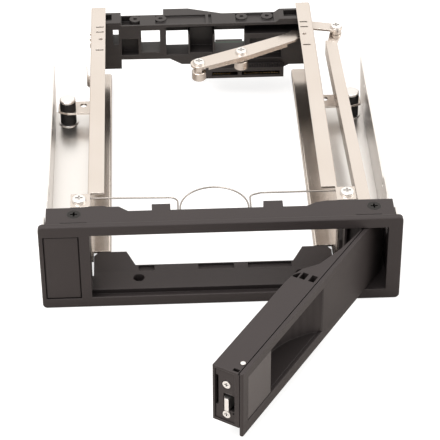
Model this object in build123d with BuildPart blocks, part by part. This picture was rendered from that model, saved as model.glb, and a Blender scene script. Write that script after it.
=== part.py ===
"""Trayless mobile rack: one 3.5 inch drive in a 5.25 inch bay, door open.

Millimetres. X to the right, Y from the front face to the back, Z up.
X = 0 is the middle of the bezel, Y = 0 its front face, Z = 0 its bottom edge.
"""
import os
from math import cos, radians, sin

from build123d import *

os.makedirs("parts", exist_ok=True)

# Fits
clear = 0.3
run = 0.06
touch = 0.05
sheet = 1.0

# Bezel
face_w = 149.0
face_h = 42.0
lip_t = 2.6
lip_side = 3.1
face_r = 2.0
body_half = face_w / 2 - lip_side
body_bottom = 0.6
body_top = 41.5
body_back = 14.0
body_back_mid = 10.8
rail_mid = -2.4
side_space = 19.4
rail_out = body_half - side_space
rail_x = {-1: rail_mid - rail_out, 1: rail_mid + rail_out}
hinge_x = body_half - 15.9
hinge_y = 9.0
open_left = rail_x[-1] + sheet - 0.4
open_right = body_half - 2.8
open_bottom = 5.0
open_top = 37.2
house_back = 24.0
house_top = 22.0
house_wall = 1.4
house_left = rail_x[1] + 0.1
pocket_right = body_half - house_wall
pillar_left = hinge_x - 4.4
pillar_right = pillar_left + 0.9
pillar_thick = 1.1
pillar_front = 5.2
pillar_deep = 2.0
stop_right = hinge_x - 2.3
stop_front = 12.5
floor_back = 17.1
floor_thick = 2.0
apron_back = 20.9
ear_back = 29.5
apron_rise = 1.0
apron_t = 1.5
bump_back = 15.0

# Blank panel
blank_left = -face_w / 2 + 2.1
blank_right = open_left - 4.6
panel_gap = 0.4
blank_bottom = 5.1
blank_top = 36.4
blank_t = 1.1

# Door, in the closed door's own directions measured from the hinge
door_angle = 57.5
hinge_pin_r = 1.5
knuckle_r = 3.0
tip_u = -108.8
plate_front = -8.7
plate_back = -7.1
skin_back = -6.0
skin_end = 3.2
box_back = 4.4
plate_end_r = 13.2
plate_bottom = 5.4
door_top = 36.8
box_bottom = 9.3
wall = 1.6
knuckle_bottom = 9.3
knuckle_top = 36.4

# Door openings, from the hinge
window_left = -104.8
window_right = -44.0
window_bottom = 10.6
window_top = 32.8
button_right = -86.6
grip_depth = 2.4
button_pin_u = -102.8
button_pin_v = -5.4
button_pin_r = 1.0

# Crank, linkage bar and lever
crank_r = 9.75
crank_ahead = 14.3
crank_pin_r = 1.3
crank_slot_long = 6.1
crank_slot_wide = 3.7
crank_slot_dx = -0.09
crank_slot_dy = -1.22
eye_wall = 0.9
plate_relief = 0.7
arm_bottom = 27.0
arm_top = 30.4
bar_bottom = 24.5
bar_top = 32.0
lever_top = 35.0
lever_flange = 2.4
lever_pivot_x = rail_x[1] - 3.0
lever_pivot_y = 164.0
post_a_x = lever_pivot_x - 51.25
post_a_y = lever_pivot_y - 31.9
post_b_x = lever_pivot_x - 31.4
post_b_y = lever_pivot_y - 23.3
lever_knee_x = lever_pivot_x - 7.8
lever_knee_y = lever_pivot_y - 11.3
link_x = lever_pivot_x + 14.6
link_y = lever_pivot_y - 3.4
link_pin_r = 1.5
post_r = 3.3
post_bottom = 26.7

# Rails and brackets
rail_flange_in = rail_out - 6.8
rail_foot_in = rail_out - 8.4
bend_r = 0.9
rail_top = 41.0
rail_bottom = 5.0
rail_back = 174.0
rail_front = 15.0
flange_front = 24.6
foot_front = 30.0
foot_back = 170.0
foot_lip = 2.5
tab_out = 7.0
tab_back = 24.0
cage_gap = 0.6
outer_half = body_half + cage_gap + sheet
outer_top = 25.5
outer_front = 3.0
outer_tab_top = 40.0
shelf_front = 24.4
shelf_back = 138.3
screw_off = rail_out + 3.5
screw_y = 19.6

# Dampers
damper_x = outer_half - 7.0
damper_y = 129.7
damper_r = 3.7
damper_neck_r = 2.3
damper_tab_z = 13.0
damper_top = 19.0
cap_t = 1.2
washer_t = 0.5
washer_r = 4.6

# Bay standard holes in the outer walls
bay_first = 50.0
bay_pitch_y = 79.25
bay_low_z = 10.3
bay_pitch_z = 11.84
bay_hole_r = 1.3

# Crosspiece
cross_front = 161.2
cross_back = 170.6
cross_top = 40.0
cross_low_top = 38.3
cross_wall = 1.2
slot_bottom = 32.3
slot_top = 36.9
cross_screw_y = 166.0
cross_screw_z = (26.0, 18.0)

# Backplane board
board_front = cross_back - 1.8
board_t = 1.6
board_w = 40.0
board_h = 12.0
board_mid_x = rail_x[1] - 30.6
board_mid_z = 16.6

# Wire
wire_r = 0.35
wire_z = 39.6
wire_y = {-1: 22.8, 1: 23.3}

turn = radians(door_angle)
crank_u = crank_r * cos(radians(crank_ahead))
crank_v = -crank_r * sin(radians(crank_ahead))
crank_x = hinge_x + crank_r * cos(turn - radians(crank_ahead))
crank_y = hinge_y + crank_r * sin(turn - radians(crank_ahead))


def door_plane(height):
    """Plan plane of the open door: u to the hinge end, v to the back face."""
    return Plane(
        origin=(hinge_x, hinge_y, height), x_dir=(cos(turn), sin(turn), 0), z_dir=(0, 0, 1)
    )


def door_face(depth):
    """Plane parallel to the door's face, depth behind the hinge axis."""
    start = door_plane(0).from_local_coords((0, depth, 0))
    return Plane(origin=start, x_dir=(cos(turn), sin(turn), 0), z_dir=(sin(turn), -cos(turn), 0))


def door_end(reach):
    """Plane across the door: local x is minus v, local y is height, normal to the tip."""
    start = door_plane(0).from_local_coords((-reach, 0, 0))
    return Plane(origin=start, x_dir=(sin(turn), -cos(turn), 0), z_dir=(-cos(turn), -sin(turn), 0))


def phillips(size):
    """Cross-shaped driver recess."""
    Rectangle(size, size * 0.26)
    Rectangle(size * 0.26, size)


def channel_path(points):
    """Plan outline of a bar along points of (x, y, half width), with round ends."""
    for start, end in zip(points, points[1:]):
        with BuildSketch(mode=Mode.PRIVATE) as leg:
            with Locations(start[:2]):
                Circle(start[2])
            with Locations(end[:2]):
                Circle(end[2])
            make_hull()
        add(leg.sketch)


# Bezel
back_profile = [
    (-body_half, lip_t),
    (-body_half, body_back),
    (-54.0, body_back),
    (-54.0, body_back + 0.7),
    (-47.0, body_back + 0.7),
    (-47.0, body_back),
    (-41.5, body_back),
    (-37.7, body_back_mid),
    (35.7, body_back_mid),
    (39.7, 13.1),
    (44.0, body_back),
    (body_half, body_back),
    (body_half, lip_t),
]
bump_spans = ((-28.0, -20.3), (18.0, 26.0))
ear_spans = ((-53.3, -39.4, -35.6), (48.3, 35.9, 31.4))
floor_hole_x = (-34.3, 34.3)
floor_hole_y = 12.6
floor_hole_r = 2.4
floor_hole_bottom = 1.4
groove_front = 0.6
groove_back = 5.2
ledge_spans = ((-34.4, -27.7), (-9.0, 6.1), (12.1, 30.6))
boss_half = 2.8
boss_bottom = 34.6
top_screw_x = (11.5 - body_half, body_half - 8.1)
top_screw_y = 9.45
top_screw_r = 2.9
pan_r = 2.9
wire_hooks = (-16.7, 12.4)

with BuildPart() as bezel:
    with BuildSketch(Plane.XZ):
        with Locations((0, face_h / 2)):
            RectangleRounded(face_w, face_h, face_r)
    extrude(amount=-lip_t)
    with BuildSketch(Plane.XY.offset(body_bottom)):
        Polygon(*back_profile, align=None)
    extrude(amount=body_top - body_bottom)
    with BuildSketch(Plane.XY.offset(open_top)):
        for left, right in bump_spans:
            with Locations(((left + right) / 2, body_back_mid)):
                Rectangle(right - left, 2 * (bump_back - body_back_mid))
    extrude(amount=body_top - open_top)
    chamfer(bezel.edges().filter_by(GeomType.CIRCLE).sort_by(Axis.Y)[:4], 0.4)
    # drive passage and hinge pocket
    with BuildSketch(Plane.XZ):
        with BuildLine():
            Polyline(
                (open_left, open_bottom),
                (open_right, open_bottom),
                (open_right, open_top),
                (open_left, open_top),
                close=True,
            )
        make_face()
    extrude(amount=-body_back - 2, mode=Mode.SUBTRACT)
    with BuildSketch(Plane.XY.offset(open_bottom)):
        with Locations(((pillar_right + pocket_right) / 2, (lip_t + body_back) / 2 + 1)):
            Rectangle(pocket_right - pillar_right, body_back - lip_t + 2)
    extrude(amount=open_top - open_bottom, mode=Mode.SUBTRACT)
    with BuildSketch(Plane.XY.offset(open_bottom)):
        with Locations(((pillar_left + pillar_right) / 2, (pillar_front + body_back) / 2)):
            Rectangle(pillar_right - pillar_left, body_back - pillar_front)
        with Locations((pillar_left + pillar_thick / 2, pillar_front + pillar_deep / 2)):
            Rectangle(pillar_thick, pillar_deep)
    extrude(amount=open_top - open_bottom)
    # low housing behind the hinge pocket, and the stop beside the knuckle
    with BuildSketch(Plane.XY.offset(open_bottom - floor_thick)):
        with Locations(((house_left + body_half) / 2, (body_back + house_back - floor_thick) / 2)):
            Rectangle(body_half - house_left, house_back - body_back + floor_thick)
    extrude(amount=house_top - open_bottom + floor_thick)
    with BuildSketch(Plane.XY.offset(open_bottom)):
        with Locations(((pillar_right + pocket_right) / 2, (lip_t + house_back - house_wall) / 2)):
            Rectangle(pocket_right - pillar_right, house_back - house_wall - lip_t)
    extrude(amount=house_top, mode=Mode.SUBTRACT)
    with BuildSketch(Plane.XY.offset(open_bottom)):
        with Locations(((pillar_left + stop_right) / 2, (stop_front + body_back) / 2)):
            Rectangle(stop_right - pillar_left, body_back - stop_front)
    extrude(amount=open_top - open_bottom)
    # hollow behind the blank panel, open to the back
    with BuildSketch(Plane.XZ.offset(-lip_t - wall)):
        with Locations(((open_left - body_half) / 2, (open_bottom + open_top) / 2)):
            Rectangle(body_half + open_left - 2 * wall, open_top - open_bottom + 4)
    extrude(amount=-body_back, mode=Mode.SUBTRACT)
    # seat of the blank panel
    with BuildSketch(Plane.XZ):
        with Locations(((blank_left + blank_right) / 2, (blank_bottom + blank_top) / 2)):
            Rectangle(blank_right - blank_left + 2 * panel_gap, blank_top - blank_bottom + 2 * panel_gap)
    extrude(amount=-blank_t - 0.3, mode=Mode.SUBTRACT)
    # strike slot for the latch hook
    with BuildSketch(Plane.YZ.offset(open_left - 2 * wall)):
        with Locations((6.6, 20.0)):
            Rectangle(6.0, 11.0)
    extrude(amount=2 * wall + 1, mode=Mode.SUBTRACT)
    # floor tongue, its groove and the rear ears
    with BuildSketch(Plane.XY.offset(open_bottom - floor_thick)):
        with Locations(((ear_spans[0][0] + ear_spans[1][0]) / 2, (body_back_mid + floor_back) / 2)):
            Rectangle(ear_spans[1][0] - ear_spans[0][0], floor_back - body_back_mid)
    extrude(amount=floor_thick)
    with BuildSketch(Plane.XY.offset(open_bottom)):
        with Locations(((open_left + pillar_left) / 2, (groove_front + groove_back) / 2)):
            Rectangle(pillar_left - open_left, groove_back - groove_front)
    extrude(amount=-2.2, mode=Mode.SUBTRACT)
    with BuildSketch(Plane.YZ.offset(ear_spans[0][0])):
        Polygon(
            (floor_back - 1.0, open_bottom - floor_thick),
            (floor_back - 1.0, open_bottom),
            (floor_back, open_bottom),
            (ear_back, open_bottom + apron_rise),
            (ear_back, open_bottom + apron_rise - apron_t),
            (floor_back, open_bottom - floor_thick),
            align=None,
        )
    extrude(amount=ear_spans[1][0] - ear_spans[0][0])
    with BuildSketch(Plane.XY.offset(open_bottom + apron_rise)):
        Polygon(
            (ear_spans[0][1], ear_back),
            (ear_spans[0][2], apron_back),
            (ear_spans[1][2], apron_back),
            (ear_spans[1][1], ear_back),
            align=None,
        )
        for outer, inward in ((ear_spans[0][0], 1), (ear_spans[1][0], -1)):
            Polygon((outer, ear_back), (outer + inward * 2.0, ear_back), (outer, ear_back - 2.5), align=None)
    extrude(amount=-4.0, mode=Mode.SUBTRACT)
    with BuildSketch(Plane.XY.offset(open_bottom + apron_rise)):
        for left, right in ledge_spans:
            with Locations(((left + right) / 2, (floor_back + apron_back - 0.5) / 2)):
                Rectangle(right - left, apron_back - floor_back - 0.5)
    extrude(amount=-apron_rise - 0.9, mode=Mode.SUBTRACT)
    with BuildSketch(Plane.XY.offset(open_bottom)):
        with Locations(*((x, floor_hole_y) for x in floor_hole_x)):
            Circle(floor_hole_r + 1.2)
    extrude(amount=body_bottom - open_bottom)
    with BuildSketch(Plane.XY.offset(open_bottom)):
        with Locations(*((x, floor_hole_y) for x in floor_hole_x)):
            Circle(floor_hole_r)
    extrude(amount=floor_hole_bottom - open_bottom, mode=Mode.SUBTRACT)
    # bosses under the rail tabs, with their screw holes
    with BuildSketch(Plane.XY.offset(boss_bottom)):
        for side in (-1, 1):
            with Locations((rail_mid + side * screw_off, (body_back + tab_back) / 2 - 1)):
                Rectangle(2 * boss_half, tab_back - body_back + 2)
    extrude(amount=rail_top - sheet - boss_bottom)
    with Locations(*((rail_mid + side * screw_off, screw_y, rail_top - sheet) for side in (-1, 1))):
        Hole(1.1, depth=4.6)
    # countersunk top screws, hinge pin holes, pockets for the wire's bends
    with Locations(*((x, top_screw_y, body_top) for x in top_screw_x)):
        CounterSinkHole(1.2, top_screw_r + touch, depth=3.6, counter_sink_angle=90)
    with BuildSketch(Plane.XY.offset(3.0)):
        with Locations((hinge_x, hinge_y)):
            Circle(hinge_pin_r)
    extrude(amount=37.0, mode=Mode.SUBTRACT)
    with BuildSketch(Plane.XZ.offset(-body_back_mid - 5)):
        with Locations(*((x, wire_z) for x in wire_hooks)):
            Rectangle(3.2, 1.6)
    extrude(amount=7.4, mode=Mode.SUBTRACT)
    with BuildSketch(Plane.XY.offset(body_top)):
        with Locations((60.6, 3.6), (-60.0, 3.6)):
            Rectangle(11.0, 0.5)
    extrude(amount=-0.3, mode=Mode.SUBTRACT)
bezel.part.label = "bezel"
export_step(bezel.part, "parts/bezel.step")

with BuildPart() as blank_panel:
    with BuildSketch(Plane.XZ.offset(-0.3)):
        with Locations(((blank_left + blank_right) / 2, (blank_bottom + blank_top) / 2)):
            RectangleRounded(blank_right - blank_left, blank_top - blank_bottom, 0.5)
    extrude(amount=-blank_t)
    chamfer(blank_panel.faces().sort_by(Axis.Y)[0].edges(), 0.25)
blank_panel.part.label = "blank_panel"
export_step(blank_panel.part, "parts/blank_panel.step")

with BuildPart() as bezel_screws:
    for x in top_screw_x:
        with BuildSketch(Plane.XZ.offset(-top_screw_y)):
            with BuildLine():
                Polyline(
                    (x, body_top),
                    (x + top_screw_r, body_top),
                    (x + 1.15, body_top - top_screw_r + 1.15),
                    (x + 1.15, body_top - 3.5),
                    (x, body_top - 3.5),
                    close=True,
                )
            make_face()
        revolve(axis=Axis((x, top_screw_y, 0), (0, 0, 1)))
        with BuildSketch(Plane.XY.offset(body_top)):
            with Locations((x, top_screw_y)):
                phillips(3.0)
        extrude(amount=-1.3, mode=Mode.SUBTRACT)
bezel_screws.part.label = "bezel_screws"
export_step(bezel_screws.part, "parts/bezel_screws.step")


# Side rails
lever_slot_front = 152.5
lever_slot_back = 169.5
stamp_rows = (156.4, 152.0, 136.2)


def build_rail(side):
    """Channel rail with front screw tab and damper tab; side is -1 left, 1 right."""
    out = rail_x[side]
    with BuildPart() as rail:
        with BuildSketch(Plane.YZ.offset(out - side * sheet)):
            with BuildLine():
                Polyline(
                    (rail_front, rail_bottom + 9.0),
                    (foot_front - 6.0, rail_bottom),
                    (rail_back - 2.0, rail_bottom),
                    (rail_back, rail_bottom + 2.0),
                    (rail_back, rail_top),
                    (rail_front, rail_top),
                    close=True,
                )
            make_face()
        extrude(amount=side * sheet)
        # top flange, bottom flange with a turned-down lip, front tab, damper tab
        with BuildSketch(Plane.XY.offset(rail_top - sheet)):
            with Locations((out - side * (rail_out - rail_flange_in) / 2, (flange_front + rail_back) / 2)):
                Rectangle(rail_out - rail_flange_in, rail_back - flange_front)
            with Locations((out + side * (tab_out - sheet) / 2, (rail_front + tab_back) / 2)):
                Rectangle(tab_out + sheet, tab_back - rail_front)
        extrude(amount=sheet)
        with BuildSketch(Plane.XY.offset(rail_bottom)):
            with Locations((out - side * (rail_out - rail_foot_in) / 2, (foot_front + foot_back) / 2)):
                Rectangle(rail_out - rail_foot_in, foot_back - foot_front)
        extrude(amount=sheet)
        with BuildSketch(Plane.YZ.offset(rail_mid + side * rail_foot_in)):
            with Locations(((foot_front + foot_back) / 2, (foot_lip + rail_bottom + sheet) / 2)):
                Rectangle(foot_back - foot_front, rail_bottom + sheet - foot_lip)
        extrude(amount=side * sheet)
        top_bend = rail.edges().filter_by(Axis.Y).filter_by_position(Axis.Z, rail_top - touch, rail_top + touch)
        fillet(top_bend.filter_by_position(Axis.X, out - touch, out + touch), bend_r)
        foot_bend = rail.edges().filter_by(Axis.Y).filter_by_position(
            Axis.Z, rail_bottom + sheet - touch, rail_bottom + sheet + touch
        )
        inner_x = rail_mid + side * rail_foot_in
        fillet(foot_bend.filter_by_position(Axis.X, inner_x - touch, inner_x + touch), bend_r)
        with BuildSketch(Plane.XY.offset(damper_tab_z)):
            inner = abs(out)
            with BuildLine():
                Polyline(
                    (side * (inner - sheet), damper_y - 4.8),
                    (side * damper_x, damper_y - 4.8),
                    (side * (damper_x + 4.4), damper_y - 3.0),
                    (side * (damper_x + 4.4), damper_y + 3.0),
                    (side * damper_x, damper_y + 4.8),
                    (side * (inner - sheet), damper_y + 4.8),
                    close=True,
                )
            make_face()
            with Locations((side * damper_x, damper_y)):
                Circle(damper_neck_r, mode=Mode.SUBTRACT)
            with Locations((side * (inner + 4.3), damper_y + 1.5)):
                Circle(1.6, mode=Mode.SUBTRACT)
        extrude(amount=sheet)
        with Locations((rail_mid + side * screw_off, screw_y, rail_top)):
            Hole(1.3, depth=sheet)
        # stamped slots and hole of the flange, drive screw slots and wire hole of the wall
        with BuildSketch(Plane.XY.offset(rail_top)):
            with Locations(*((out - side * 4.2, y) for y in stamp_rows)):
                Rectangle(3.6, 1.0)
            with Locations((out - side * 4.6, 145.7)):
                Circle(0.9)
        extrude(amount=-sheet, mode=Mode.SUBTRACT)
        with BuildSketch(Plane.YZ.offset(out - side * 2 * sheet)):
            with Locations((44.0, 14.0), (104.0, 14.0)):
                SlotOverall(16.0, 3.6)
            with Locations((wire_y[side], wire_z)):
                Circle(wire_r + touch)
            with Locations(*((cross_screw_y, z) for z in cross_screw_z)):
                Circle(1.3)
        extrude(amount=side * 3 * sheet, mode=Mode.SUBTRACT)
        if side > 0:
            with BuildSketch(Plane.YZ.offset(out - 2 * sheet)):
                with Locations(((lever_slot_front + lever_slot_back) / 2, (slot_bottom + slot_top) / 2)):
                    Rectangle(lever_slot_back - lever_slot_front, slot_top - slot_bottom)
            extrude(amount=3 * sheet, mode=Mode.SUBTRACT)
        else:
            # small bent spring tongue and two raised pips on the outside
            with BuildSketch(Plane.XY.offset(rail_top - 9.0)):
                with BuildLine():
                    Polyline(
                        (out, 118.0),
                        (out - 1.7, 119.8),
                        (out - 1.9, 127.0),
                        (out - 1.5, 127.0),
                        (out - 1.3, 120.1),
                        (out, 118.8),
                        close=True,
                    )
                make_face()
            extrude(amount=6.0)
            with BuildSketch(Plane.YZ.offset(out - 0.8)):
                with Locations((157.0, rail_top - 4.0), (152.5, rail_top - 4.0)):
                    Circle(0.8)
            extrude(amount=0.8)
    return rail


rail_left = build_rail(-1)
rail_left.part.label = "rail_left"
export_step(rail_left.part, "parts/rail_left.step")

rail_right = build_rail(1)
rail_right.part.label = "rail_right"
export_step(rail_right.part, "parts/rail_right.step")


def build_bracket(side):
    """Outer bracket: low side wall with the bay's screw holes, and the damper shelf."""
    inner = abs(rail_x[side])
    with BuildPart() as bracket:
        with BuildSketch(Plane.YZ.offset(side * (outer_half - sheet))):
            with BuildLine():
                Polyline(
                    (outer_front, rail_bottom),
                    (142.0, rail_bottom),
                    (149.0, outer_top),
                    (bay_first, outer_top),
                    (bay_first - 2.0, outer_top + 3.0),
                    (37.0, outer_top + 3.0),
                    (35.0, outer_top),
                    (body_back, outer_top),
                    (12.4, outer_tab_top - 2.0),
                    (10.4, outer_tab_top),
                    (outer_front, outer_tab_top),
                    close=True,
                )
            make_face()
        extrude(amount=side * sheet)
        with BuildSketch(Plane.XY.offset(rail_bottom)):
            with Locations((side * (inner + outer_half) / 2, (shelf_front + shelf_back) / 2)):
                Rectangle(outer_half - inner, shelf_back - shelf_front)
        extrude(amount=sheet)
        with BuildSketch(Plane.YZ.offset(side * (outer_half + sheet))):
            with Locations(
                *(
                    (y, z)
                    for y in (bay_first, bay_first + bay_pitch_y)
                    for z in (bay_low_z, bay_low_z + bay_pitch_z)
                )
            ):
                Circle(bay_hole_r)
        extrude(amount=-side * 3 * sheet, mode=Mode.SUBTRACT)
    return bracket


bracket_left = build_bracket(-1)
bracket_left.part.label = "bracket_left"
export_step(bracket_left.part, "parts/bracket_left.step")

bracket_right = build_bracket(1)
bracket_right.part.label = "bracket_right"
export_step(bracket_right.part, "parts/bracket_right.step")

with BuildPart() as rail_screws:
    for side in (-1, 1):
        x = rail_mid + side * screw_off
        with BuildSketch(Plane.XY.offset(rail_top)):
            with Locations((x, screw_y)):
                Circle(pan_r)
        extrude(amount=1.5)
        with BuildSketch(Plane.XY.offset(rail_top)):
            with Locations((x, screw_y)):
                Circle(1.1 - touch)
        extrude(amount=-5.0)
    fillet(rail_screws.faces().filter_by(Plane.XY).sort_by(Axis.Z)[-2:].edges(), 0.9)
    with BuildSketch(Plane.XY.offset(rail_top + 1.5)):
        for side in (-1, 1):
            with Locations((rail_mid + side * screw_off, screw_y)):
                phillips(3.2)
    extrude(amount=-1.1, mode=Mode.SUBTRACT)
rail_screws.part.label = "rail_screws"
export_step(rail_screws.part, "parts/rail_screws.step")

# Dampers: rubber with a neck in the rail's tab, a nickel cap above and a washer below
with BuildPart() as dampers:
    shelf_top = rail_bottom + sheet
    for side in (-1, 1):
        with BuildSketch(Plane.XY.offset(shelf_top + washer_t)):
            with Locations((side * damper_x, damper_y)):
                Circle(damper_r)
        extrude(amount=damper_tab_z - shelf_top - washer_t)
        with BuildSketch(Plane.XY.offset(damper_tab_z)):
            with Locations((side * damper_x, damper_y)):
                Circle(damper_neck_r)
        extrude(amount=sheet)
        with BuildSketch(Plane.XY.offset(damper_tab_z + sheet)):
            with Locations((side * damper_x, damper_y)):
                Circle(damper_r)
        extrude(amount=damper_top - cap_t - damper_tab_z - sheet)
dampers.part.label = "dampers"
export_step(dampers.part, "parts/dampers.step")

with BuildPart() as damper_caps:
    with BuildSketch(Plane.XY.offset(damper_top - cap_t)):
        with Locations((-damper_x, damper_y), (damper_x, damper_y)):
            Circle(damper_r)
    extrude(amount=cap_t)
    chamfer(damper_caps.faces().filter_by(Plane.XY).sort_by(Axis.Z)[-2:].edges(), 0.4)
damper_caps.part.label = "damper_caps"
export_step(damper_caps.part, "parts/damper_caps.step")

with BuildPart() as damper_washers:
    with BuildSketch(Plane.XY.offset(rail_bottom + sheet)):
        with Locations((-damper_x, damper_y), (damper_x, damper_y)):
            Circle(washer_r)
    extrude(amount=washer_t)
damper_washers.part.label = "damper_washers"
export_step(damper_washers.part, "parts/damper_washers.step")

# Rear crosspiece
cross_left = rail_x[-1] + sheet
cross_right = rail_x[1] - sheet
block_left = cross_left + 12.9
block_right = cross_right - 16.1
cross_profile = [
    (cross_left, cross_top),
    (cross_left, 14.5),
    (cross_left + 12.6, 14.5),
    (cross_left + 12.6, 19.6),
    (-17.7, 19.4),
    (-12.0, 16.2),
    (-0.8, 16.0),
    (cross_right - 12.0, 16.0),
    (cross_right - 12.0, 13.2),
    (cross_right - 9.4, 14.6),
    (cross_right, 14.6),
    (cross_right, cross_top),
    (block_right + 2.2, cross_top),
    (block_right, cross_low_top),
    (block_left, cross_low_top),
    (block_left, cross_top),
]
window_sizes = (
    (-44.5, -41.7, 28.0, 36.2),
    (-31.1, -22.2, 23.4, 35.4),
)
post_windows = ((-19.3, -8.7, 21.5, 26.9), (3.8, 18.1, 22.9, 29.9))
boss_x = (-33.7, -21.7, 16.7, 28.8)
boss_y = 167.4
recess_spans = ((-40.2, -31.5, 2.8), (-24.2, -0.4, 0.9), (1.0, 2.4, 0.9), (13.8, block_right - 0.6, 0.9))
bay_left = -8.0
bay_right = 2.8
bay_depth = 7.0
lever_room_back = 174.6

with BuildPart() as crosspiece:
    with BuildSketch(Plane.XZ.offset(-cross_front)):
        Polygon(*cross_profile, align=None)
    extrude(amount=cross_front - cross_back)
    # housing at the back for the folded lever and its end post
    with BuildSketch(Plane.XY.offset(slot_bottom - cross_wall)):
        Polygon(
            (-20.4, cross_back - cross_wall),
            (-20.4, lever_room_back + cross_wall),
            (-8.6, lever_room_back + cross_wall),
            (7.4, cross_back),
            (7.4, cross_back - cross_wall),
            align=None,
        )
    extrude(amount=cross_low_top - slot_bottom + cross_wall)
    with BuildSketch(Plane.XY.offset(post_windows[0][3] - cross_wall)):
        with Locations((-14.0, (cross_back + lever_room_back) / 2)):
            Rectangle(12.8, lever_room_back + 2 * cross_wall - cross_back)
    extrude(amount=slot_bottom - post_windows[0][3])
    # slot that takes the folded lever, open to the front
    with BuildSketch(Plane.XY.offset(slot_bottom)):
        with BuildLine():
            Polyline(
                (-19.2, cross_front - 1.0),
                (-19.2, lever_room_back),
                (-9.0, lever_room_back),
                (6.2, cross_back - cross_wall),
                (24.0, cross_back - cross_wall),
                (cross_right + 1.0, 168.4),
                (cross_right + 1.0, cross_front - 1.0),
                close=True,
            )
        make_face()
    extrude(amount=slot_top - slot_bottom, mode=Mode.SUBTRACT)
    # windows, and the rooms behind the two that take the posts
    with BuildSketch(Plane.XZ.offset(-cross_front + 1.0)):
        for left, right, low, high in (*window_sizes, *post_windows):
            with Locations(((left + right) / 2, (low + high) / 2)):
                Rectangle(right - left, high - low)
    extrude(amount=-20.0, mode=Mode.SUBTRACT)
    for (left, right, low, high), back in zip(post_windows, (lever_room_back, cross_back - cross_wall)):
        with BuildSketch(Plane.XZ.offset(-cross_front + 1.0)):
            with Locations(((left + right) / 2, (high + slot_bottom) / 2)):
                Rectangle(right - left, slot_bottom - high + 1.0)
        extrude(amount=cross_front - 1.0 - back, mode=Mode.SUBTRACT)
    with BuildSketch(Plane.XZ.offset(-cross_front)):
        with Locations((28.0, 24.0)):
            Rectangle(15.0, 11.0)
        with Locations((-36.5, 26.5)):
            Rectangle(8.0, 9.0)
    extrude(amount=-4.5, mode=Mode.SUBTRACT)
    with BuildSketch(Plane.XZ.offset(-cross_front)):
        with Locations(((bay_left + bay_right) / 2, 27.4)):
            Rectangle(bay_right - bay_left, 9.8)
    extrude(amount=-bay_depth, mode=Mode.SUBTRACT)
    # recesses of the top face with round screw bosses in them
    for left, right, depth in recess_spans:
        with BuildSketch(Plane.XY.offset(cross_low_top)):
            with Locations(((left + right) / 2, (cross_front + cross_back) / 2)):
                Rectangle(right - left, cross_back - cross_front - 1.6)
            with Locations(*((x, boss_y) for x in boss_x)):
                Circle(2.7, mode=Mode.SUBTRACT)
        extrude(amount=-depth, mode=Mode.SUBTRACT)
    with BuildSketch(Plane.XY.offset(cross_low_top)):
        with Locations(*((x, boss_y) for x in boss_x)):
            Circle(1.0)
    extrude(amount=-0.9, mode=Mode.SUBTRACT)
    # pockets at both ends of the top and the hole of the lever's pivot
    with BuildSketch(Plane.XY.offset(cross_top)):
        with Locations((cross_left + 5.4, 166.4), (cross_right - 8.8, 166.4)):
            Rectangle(6.4, 5.4)
    extrude(amount=-2.6, mode=Mode.SUBTRACT)
    with Locations((lever_pivot_x, lever_pivot_y, cross_top)):
        Hole(1.5, depth=4.0)
    # seat for the circuit board at the back, side screw holes
    with BuildSketch(Plane.XZ.offset(-cross_back)):
        with Locations((board_mid_x, board_mid_z)):
            Rectangle(board_w + 2 * clear, board_h + 2 * clear)
    extrude(amount=cross_back - board_front, mode=Mode.SUBTRACT)
    for side, end in ((-1, cross_left), (1, cross_right)):
        with BuildSketch(Plane.YZ.offset(end)):
            with Locations(*((cross_screw_y, z) for z in cross_screw_z)):
                Circle(1.0)
        extrude(amount=-side * 5.0, mode=Mode.SUBTRACT)
crosspiece.part.label = "crosspiece"
export_step(crosspiece.part, "parts/crosspiece.step")

with BuildPart() as crosspiece_screws:
    for side in (-1, 1):
        with BuildSketch(Plane.YZ.offset(rail_x[side])):
            with Locations(*((cross_screw_y, z) for z in cross_screw_z)):
                Circle(2.2)
        extrude(amount=side * 1.2)
        with BuildSketch(Plane.YZ.offset(rail_x[side])):
            with Locations(*((cross_screw_y, z) for z in cross_screw_z)):
                Circle(1.0 - touch)
        extrude(amount=-side * 5.0)
        with BuildSketch(Plane.YZ.offset(rail_x[side] + side * 1.2)):
            with Locations(*((cross_screw_y, z) for z in cross_screw_z)):
                phillips(2.4)
        extrude(amount=-side * 0.8, mode=Mode.SUBTRACT)
crosspiece_screws.part.label = "crosspiece_screws"
export_step(crosspiece_screws.part, "parts/crosspiece_screws.step")

# Backplane board with its front drive connector and rear sockets
with BuildPart() as backplane:
    with BuildSketch(Plane.XZ.offset(-board_front)):
        with Locations((board_mid_x, board_mid_z)):
            Rectangle(board_w, board_h)
    extrude(amount=-board_t)
backplane.part.label = "backplane"
export_step(backplane.part, "parts/backplane.step")

connector_left = cross_right - 49.4
connector_right = cross_right - 12.2
connector_front = 156.6
connector_low = 10.6
connector_high = 16.0
with BuildPart() as drive_connector:
    with BuildSketch(Plane.XZ.offset(-connector_front)):
        with Locations(((connector_left + connector_right) / 2, (connector_low + connector_high) / 2)):
            Rectangle(connector_right - connector_left, connector_high - connector_low)
    extrude(amount=connector_front - board_front)
    with BuildSketch(Plane.XZ.offset(-connector_front)):
        with Locations((connector_left + 9.1, 13.0)):
            Rectangle(12.4, 2.2)
        with Locations((connector_left + 26.4, 13.0)):
            Rectangle(18.4, 2.2)
    extrude(amount=-6.0, mode=Mode.SUBTRACT)
    with BuildSketch(Plane.XY.offset(connector_high)):
        with Locations(*((connector_left + 21.3 + 1.2 * i, connector_front + 2.0) for i in range(13))):
            Rectangle(0.5, 3.2)
    extrude(amount=-0.6, mode=Mode.SUBTRACT)
drive_connector.part.label = "drive_connector"
export_step(drive_connector.part, "parts/drive_connector.step")

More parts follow.
